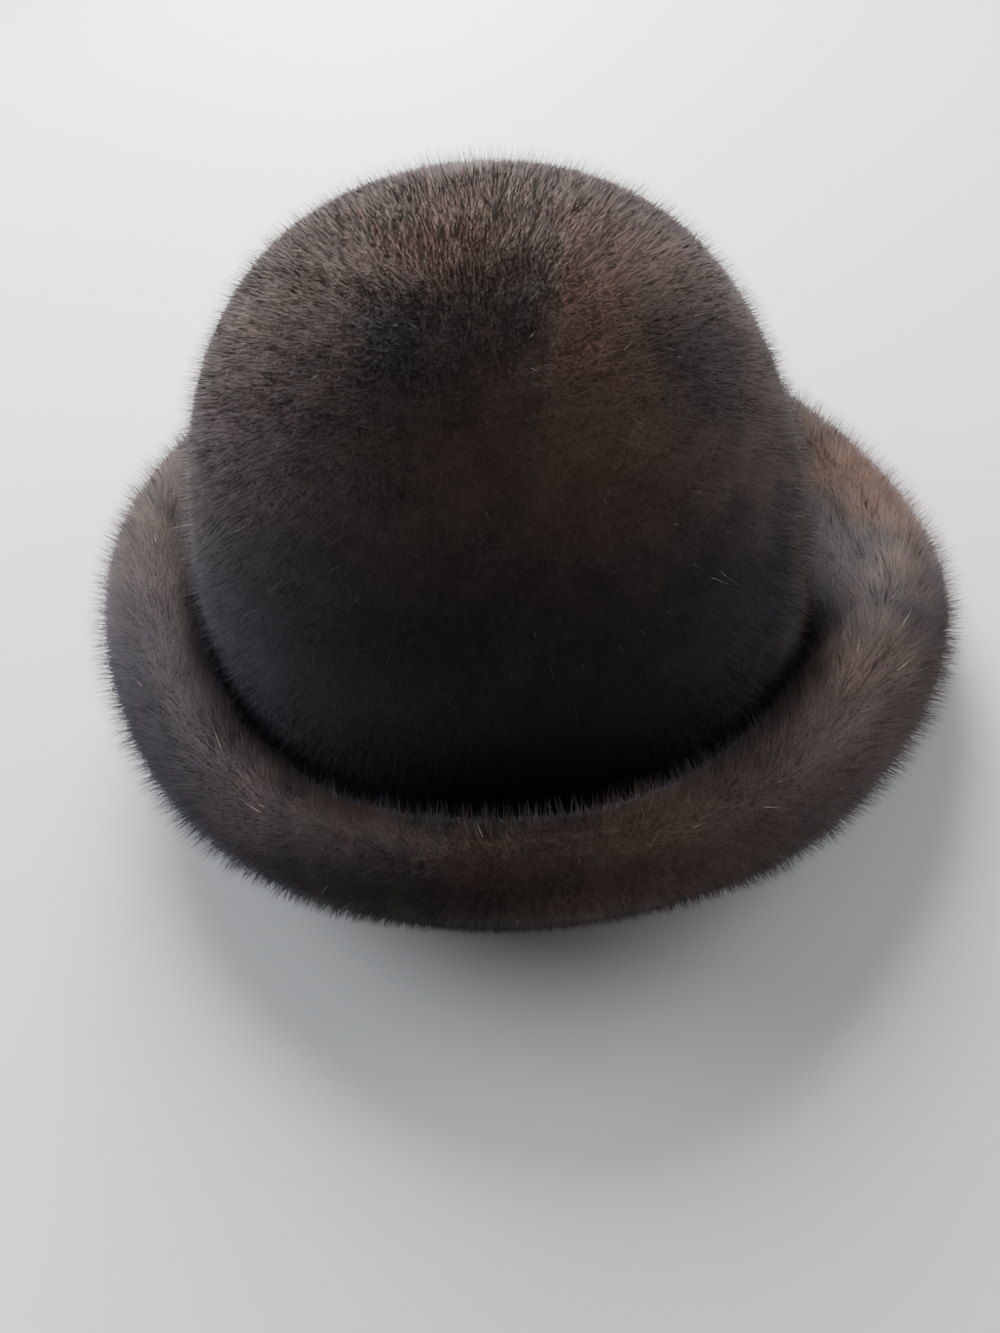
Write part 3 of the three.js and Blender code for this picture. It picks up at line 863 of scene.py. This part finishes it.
def fur_material(name, lightness, roughness, root_shade, tip_shade, sheen):
    """Brown fur: each hair's shade comes from its strand and its place, and changes towards the tip; the
    lighter roots are partly painted light against the shade between the hairs.
    """
    material, tree, shader = node_material(name)
    along = attribute(tree, "along").outputs["Fac"]
    strand = attribute(tree, "strand").outputs["Fac"]
    tone = attribute(tree, "tone").outputs["Fac"]
    red = attribute(tree, "red").outputs["Fac"]
    place = attribute(tree, "root_place").outputs["Vector"]
    tone = scaled_sum(tree, tone, strand, STRAND_SHARE)
    body = pelt_colour(tree, place, tone, red, lightness)
    body = mix_colour(tree, math_node(tree, "SUBTRACT", tone, PALE_FROM, clamp=True), body, PALE_BROWN)
    colour = mix_colour(tree, along, shaded(tree, body, root_shade), shaded(tree, body, tip_shade))
    tree.links.new(colour, shader.inputs["Base Color"])
    shader.inputs["Roughness"].default_value = roughness
    shader.inputs["Specular IOR Level"].default_value = FUR_SPECULAR
    shader.inputs["Sheen Weight"].default_value = sheen
    shader.inputs["Sheen Roughness"].default_value = SHEEN_ROUGHNESS
    shader.inputs["Sheen Tint"].default_value = (*SHEEN_TINT, 1)
    return material


def skin_material(name, lightness):
    """The dense underfur next to the skin: the same shades as the fur's, a little lighter, partly as mink's
    lighter underfur and partly painted light that offsets the shade under the hairs.
    """
    material, tree, shader = node_material(name)
    place = tree.nodes.new("ShaderNodeTexCoord").outputs["Object"]
    fine = noise(tree, place, **UNDERFUR_NOISE)
    tone = attribute(tree, "tone").outputs["Fac"]
    red = attribute(tree, "red").outputs["Fac"]
    tone = scaled_sum(tree, tone, fine, UNDERFUR_SHARE)
    colour = shaded(tree, pelt_colour(tree, place, tone, red, lightness), SKIN_SHADE)
    tree.links.new(colour, shader.inputs["Base Color"])
    shader.inputs["Roughness"].default_value = SKIN_ROUGHNESS
    shader.inputs["Specular IOR Level"].default_value = FUR_SPECULAR
    set_bump(tree, shader, fine, strength=0.5, distance=0.0008)
    return material


def hollow_material(name):
    """Plain dark cloth-like inside of the crown."""
    material, tree, shader = node_material(name)
    place = tree.nodes.new("ShaderNodeTexCoord").outputs["Object"]
    weave = noise(tree, place, **CLOTH_NOISE)
    colour = mix_colour(tree, weave, *CLOTH_COLOURS)
    tree.links.new(colour, shader.inputs["Base Color"])
    shader.inputs["Roughness"].default_value = CLOTH_ROUGHNESS
    set_bump(tree, shader, weave, strength=0.3, distance=0.0004)
    return material


# Skins

def ring_faces(first, second, columns):
    """Quads between two rings of points, given by the number of each ring's first point."""
    k = np.arange(columns)
    after = (k + 1) % columns
    return np.stack([first + k, second + k, second + after, first + after], -1)


def rings_mesh(name, rings, closed, tips=(None, None)):
    """A body of rings of points; closed joins the last ring to the first, and tips cap the ends."""
    columns = len(rings[0])
    points = np.concatenate(rings)
    quads = [ring_faces(i * columns, (i + 1) * columns, columns) for i in range(len(rings) - 1)]
    if closed:
        quads.append(ring_faces((len(rings) - 1) * columns, 0, columns))
    quads = np.concatenate(quads)
    corners = [quads.ravel()]
    starts = [np.arange(len(quads)) * 4]
    offset = len(quads) * 4
    extra = []
    k = np.arange(columns)
    for tip, ring in ((tips[0], 0), (tips[1], len(rings) - 1)):
        if tip is None:
            continue
        index = len(points) + len(extra)
        extra.append(tip)
        a, b = ring * columns + k, ring * columns + (k + 1) % columns
        first, second = (a, b) if ring == 0 else (b, a)
        corners.append(np.stack([np.full(columns, index), first, second], -1).ravel())
        starts.append(offset + np.arange(columns) * 3)
        offset += columns * 3
    if extra:
        points = np.concatenate([points, np.array(extra)])
    return new_mesh_object(name, points, np.concatenate(corners), np.concatenate(starts))


SKIN_COLUMNS = 180
CROWN_SKIN_RINGS = 70
HOLLOW_RINGS = 40
BRIM_SKIN_RINGS = 72
# The crown's first ring outside is this share of the way down, and the last one inside this far up
FIRST_RING = 0.02
LAST_RING = 0.97
CROWN_SKIN_LIGHTNESS = 0.32
BRIM_SKIN_LIGHTNESS = 0.25


def skin_patches(obj, sheet, tones, azimuth, share, others):
    """The colour patches, with their painted shade and light, on the skin's rings, and none on the points
    after them.
    """
    azimuth, share = (v.ravel() for v in np.broadcast_arrays(azimuth[None, :], share[:, None]))
    place = sheet.at(sheet.points, azimuth, share)
    for column in ("tone", "red"):
        values = patch_sum(sheet, tones, column, place, azimuth, share)
        vertex_values(obj, column, np.concatenate([values, np.zeros(others)]))


def make_crown_pelt():
    """The crown's skin down to its foot and its hollow back up, as one closed body."""
    azimuth = np.arange(SKIN_COLUMNS) / SKIN_COLUMNS * TURN
    shares = np.linspace(FIRST_RING, 1, CROWN_SKIN_RINGS)
    climbs = np.linspace(0, LAST_RING, HOLLOW_RINGS)
    outer = [crown_skin(azimuth, np.full(SKIN_COLUMNS, 1 - share)) for share in shares]
    inner = [crown_hollow(azimuth, np.full(SKIN_COLUMNS, climb)) for climb in climbs]
    tips = (crown_skin(np.zeros(1), np.ones(1))[0], crown_hollow(np.zeros(1), np.ones(1))[0])
    obj = rings_mesh("crown_pelt", outer + inner, False, tips)
    skin_patches(obj, CROWN_SHEET, CROWN_TONES_AND_PAINTED_SHADING, azimuth, shares, len(inner) * SKIN_COLUMNS + 2)
    obj.data.materials.append(skin_material("crown_underfur_skin", CROWN_SKIN_LIGHTNESS))
    obj.data.materials.append(hollow_material("crown_hollow"))
    inside = np.zeros(len(obj.data.polygons), np.int32)
    first_inside = len(outer) * SKIN_COLUMNS
    last_inside = (len(outer) + len(inner) - 1) * SKIN_COLUMNS
    inside[first_inside:last_inside] = 1
    inside[-SKIN_COLUMNS:] = 1
    obj.data.polygons.foreach_set("material_index", inside)
    return obj


def make_brim_pelt():
    """The brim's skin over the rim and back to the seam, as one closed body."""
    azimuth = np.arange(SKIN_COLUMNS) / SKIN_COLUMNS * TURN
    grid = brim_skin_grid(azimuth, BRIM_SKIN_RINGS)
    rings = [grid[:, j] for j in range(grid.shape[1])]
    seam = rings[0].copy()
    foot = foot_radius(azimuth) + SEAM_GAP
    seam[:, 0] = foot * np.cos(azimuth)
    seam[:, 1] = foot * np.sin(azimuth)
    seam[:, 2] = SKIN_FOOT
    obj = rings_mesh("brim_pelt", rings + [seam], True)
    skin_patches(obj, BRIM_SHEET, BRIM_TONES_AND_PAINTED_SHADING, azimuth, np.linspace(0, 1, len(rings)), SKIN_COLUMNS)
    obj.data.materials.append(skin_material("brim_underfur_skin", BRIM_SKIN_LIGHTNESS))
    return obj


def shown(obj, node=None):
    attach(obj, "root")
    if node:
        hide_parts(node)


crown_pelt = make_crown_pelt()
brim_pelt = make_brim_pelt()
shown(crown_pelt, "crown")
shown(brim_pelt, "brim")

# Fur

# Shares run down the crown from its top to its foot, and over the brim from the seam's top to the flat ring
SEAM_SHARE = 0.915
GUTTER_FROM = 0.72
GUTTER_LYING = 0.45
NEAR_SIDE_MORE = 0.25


def crown_weight(azimuth, share):
    """No hair grows behind the brim, and the near side in the camera's view gets the most."""
    return np.where(share > SEAM_SHARE, 0.0, 1.0) * (1 + NEAR_SIDE_MORE * np.cos(azimuth + math.pi / 2))


def crown_lift(azimuth, share):
    """Hairs lie down where the crown goes into the gutter."""
    return 1 - GUTTER_LYING * smooth_step(share, GUTTER_FROM, SEAM_SHARE)


def crown_length(azimuth, share):
    """All over the crown hair has its full length."""
    return np.ones(len(azimuth))


# The near side, and the middle of it, between two cosines of the angle to its middle
NEAR_SIDE = (0.60, 0.90)
NEAR_MIDDLE = (0.90, 0.98)
# Where the brim's fur fills in by the seam, and thins out under the brim by a share
FILLS_IN = (0.0, 0.08)
THINS_OUT = (0.88, 0.98)
THINNED = 0.6
# The lift by the seam and how much it gains towards the rim, then how far hairs lie down under it
SEAM_LIFT = 0.75
LIFT_GAIN = 0.30
STANDS_UP = (0.1, 0.35)
LYING = 0.30
NEAR_LYING = 0.35
LIES_DOWN = (0.70, 0.9)
# The length by the seam and how much it gains, then how much shorter hairs are under the brim, over the rim's
# near side, and in the middle of it
SEAM_LENGTH = 0.7
LENGTH_GAIN = 0.3
GROWS_LONG = (0.0, 0.25)
SHORTER_UNDER = 0.32
NEAR_SHORTER_UNDER = 0.13
UNDERSIDE = (0.68, 0.85)
NEAR_SHORTER = 0.26
RIM_SHORTER = 0.17
NEAR_RIM = (0.42, 0.62)
MIDDLE_SHORTER = 0.25
MIDDLE_RIM = (0.50, 0.70)


def nearness(azimuth, stretch):
    """From 0 to 1 towards the middle of the near side."""
    return smooth_step(-np.sin(azimuth), *stretch)


def brim_weight(azimuth, share):
    """Fur fills in from the seam on, and thins out under the brim."""
    return smooth_step(share, *FILLS_IN) * (1 - THINNED * smooth_step(share, *THINS_OUT))


def brim_lift(azimuth, share):
    """Hair stands up towards the rim, and lies down under it, most on the near side."""
    lying = LYING + NEAR_LYING * nearness(azimuth, NEAR_SIDE)
    return SEAM_LIFT + LIFT_GAIN * smooth_step(share, *STANDS_UP) - lying * smooth_step(share, *LIES_DOWN)


def brim_length(azimuth, share):
    """Hair is shorter by the seam, under the brim, and over the rim's near side."""
    near = nearness(azimuth, NEAR_SIDE)
    middle = nearness(azimuth, NEAR_MIDDLE)
    under = (SHORTER_UNDER + NEAR_SHORTER_UNDER * near) * smooth_step(share, *UNDERSIDE)
    side = SEAM_LENGTH + LENGTH_GAIN * smooth_step(share, *GROWS_LONG) - under
    near = near * (NEAR_SHORTER + RIM_SHORTER * smooth_step(share, *NEAR_RIM))
    return side * (1 - near - MIDDLE_SHORTER * middle * smooth_step(share, *MIDDLE_RIM))


CROWN_COAT = Coat(
    CROWN_SHEET, crown_nap, crown_weight, crown_lift, crown_length,
    curve_radius=95.0, clump_cells=(190, 60), tones=CROWN_TONES_AND_PAINTED_SHADING)
BRIM_COAT = Coat(
    BRIM_SHEET, brim_nap, brim_weight, brim_lift, brim_length,
    curve_radius=130.0, clump_cells=(260, 34), tones=BRIM_TONES_AND_PAINTED_SHADING)
CROWN_UNDER = Hair(
    length=2.1, width=0.27, lift=48, flatten=0.15, spread=0.22, clump=0.0, seed=3, softness=0.95)
CROWN_GUARD = Hair(
    length=5.8, width=0.15, lift=74, flatten=0.15, spread=0.16, clump=0.50, seed=5, softness=1.0,
    long_share=0.24, short=0.42, pale_share=0.003)
BRIM_UNDER = Hair(
    length=2.5, width=0.28, lift=50, flatten=0.15, spread=0.22, clump=0.0, seed=7, softness=0.95)
BRIM_GUARD = Hair(
    length=7.6, width=0.17, lift=80, flatten=0.12, spread=0.14, clump=0.58, seed=9, softness=1.0,
    long_share=0.42, short=0.45, pale_share=0.002)
# Roots are lighter than tips: partly mink's lighter underfur, partly painted light that offsets the shade
# down between the hairs
CROWN_LOOK = {"lightness": 0.28, "root_shade": 1.3, "tip_shade": 1.0}
BRIM_UNDER_LOOK = {"lightness": 0.22, "root_shade": 1.5, "tip_shade": 1.0}
BRIM_GUARD_LOOK = {"lightness": 0.22, "root_shade": 1.5, "tip_shade": 0.95}

crown_under_fur = fur_material("crown_underfur_brown", roughness=0.75, sheen=0.16, **CROWN_LOOK)
crown_guard_fur = fur_material("crown_guard_hair_brown", roughness=0.65, sheen=0.06, **CROWN_LOOK)
brim_under_fur = fur_material("brim_underfur_brown", roughness=0.75, sheen=0.24, **BRIM_UNDER_LOOK)
brim_guard_fur = fur_material("brim_guard_hair_brown", roughness=0.65, sheen=0.06, **BRIM_GUARD_LOOK)
for name, hair, coat, material, slot in (
    ("crown_underfur", CROWN_UNDER, CROWN_COAT, crown_under_fur, "crown_fur"),
    ("crown_guard_hair", CROWN_GUARD, CROWN_COAT, crown_guard_fur, "crown_fur"),
    ("brim_underfur", BRIM_UNDER, BRIM_COAT, brim_under_fur, "brim_fur"),
    ("brim_guard_hair", BRIM_GUARD, BRIM_COAT, brim_guard_fur, "brim_fur"),
):
    fur = grow(name, hair, coat)
    fur.data.materials.append(material)
    shown(fur)

# Floor, lights and camera

FLOOR_SIZE = 6.0
FLOOR_COLOUR = (0.58, 0.575, 0.56)
FLOOR_NOISE = {"scale": 1.5, "detail": 2.0, "roughness": 0.5}
FLOOR_CLOUD_SHADE = 0.97
FLOOR_ROUGHNESS = 0.7
WORLD_COLOUR = (0.92, 0.95, 1.0)
WORLD_STRENGTH = 0.33
COOL_WHITE = (0.86, 0.92, 1.0)
SOFT_WHITE = (0.92, 0.96, 1.0)
WHITE = (1, 1, 1)


def make_floor():
    half = FLOOR_SIZE / 2
    mesh = bpy.data.meshes.new("floor")
    corners = [(-half, -half, 0), (half, -half, 0), (half, half, 0), (-half, half, 0)]
    mesh.from_pydata(corners, [], [(0, 1, 2, 3)])
    floor = bpy.data.objects.new("floor", mesh)
    bpy.context.scene.collection.objects.link(floor)
    material, tree, shader = node_material("pale_floor")
    place = tree.nodes.new("ShaderNodeTexCoord").outputs["Object"]
    cloud = noise(tree, place, **FLOOR_NOISE)
    colour = mix_colour(tree, cloud, FLOOR_COLOUR, tuple(FLOOR_CLOUD_SHADE * c for c in FLOOR_COLOUR))
    tree.links.new(colour, shader.inputs["Base Color"])
    shader.inputs["Roughness"].default_value = FLOOR_ROUGHNESS
    mesh.materials.append(material)


def area_light(name, place, target, size, power, colour):
    """A round soft light, with its place, target and size in metres and its power in watts."""
    light = bpy.data.lights.new(name, "AREA")
    light.shape = "DISK"
    light.size = size
    light.energy = power
    light.color = colour
    obj = bpy.data.objects.new(name, light)
    obj.location = place
    obj.rotation_euler = (Vector(target) - Vector(place)).to_track_quat("-Z", "Y").to_euler()
    bpy.context.scene.collection.objects.link(obj)


def make_world(colour, strength):
    world = bpy.data.worlds.new("studio")
    bpy.context.scene.world = world
    world.use_nodes = True
    background = world.node_tree.nodes["Background"]
    background.inputs["Color"].default_value = (*colour, 1)
    background.inputs["Strength"].default_value = strength


def make_camera():
    pitch, roll = math.radians(CAMERA_PITCH), math.radians(CAMERA_ROLL)
    forward = Vector((0, math.cos(pitch), -math.sin(pitch)))
    level_right = Vector((1, 0, 0))
    level_up = Vector((0, math.sin(pitch), math.cos(pitch)))
    right = level_right * math.cos(roll) + level_up * math.sin(roll)
    up = level_up * math.cos(roll) - level_right * math.sin(roll)
    data = bpy.data.cameras.new("camera")
    data.lens = LENS
    data.sensor_width = SENSOR_WIDTH
    data.clip_start = CLIP_START
    data.clip_end = CLIP_END
    camera = bpy.data.objects.new("camera", data)
    turn = Matrix((right, up, -forward)).transposed().to_4x4()
    camera.matrix_world = Matrix.Translation(Vector(points_to_metres(CAMERA_PLACE))) @ turn
    bpy.context.scene.collection.objects.link(camera)
    bpy.context.scene.camera = camera


make_floor()
make_world(WORLD_COLOUR, WORLD_STRENGTH)
# The key light stands behind and above, as the shadow shows
area_light("key_light", (-0.12, 0.86, 0.82), (0, 0.02, 0.06), size=0.8, power=42, colour=WHITE)
area_light("low_light", (-0.02, 1.20, 0.46), (0, 0, 0.08), size=0.5, power=20, colour=WHITE)
area_light("left_light", (-1.1, 0.40, 0.55), (0, 0, 0.05), size=0.9, power=20, colour=COOL_WHITE)
area_light("right_light", (1.2, 0.25, 0.60), (0, 0, 0.05), size=0.9, power=13, colour=SOFT_WHITE)
make_camera()
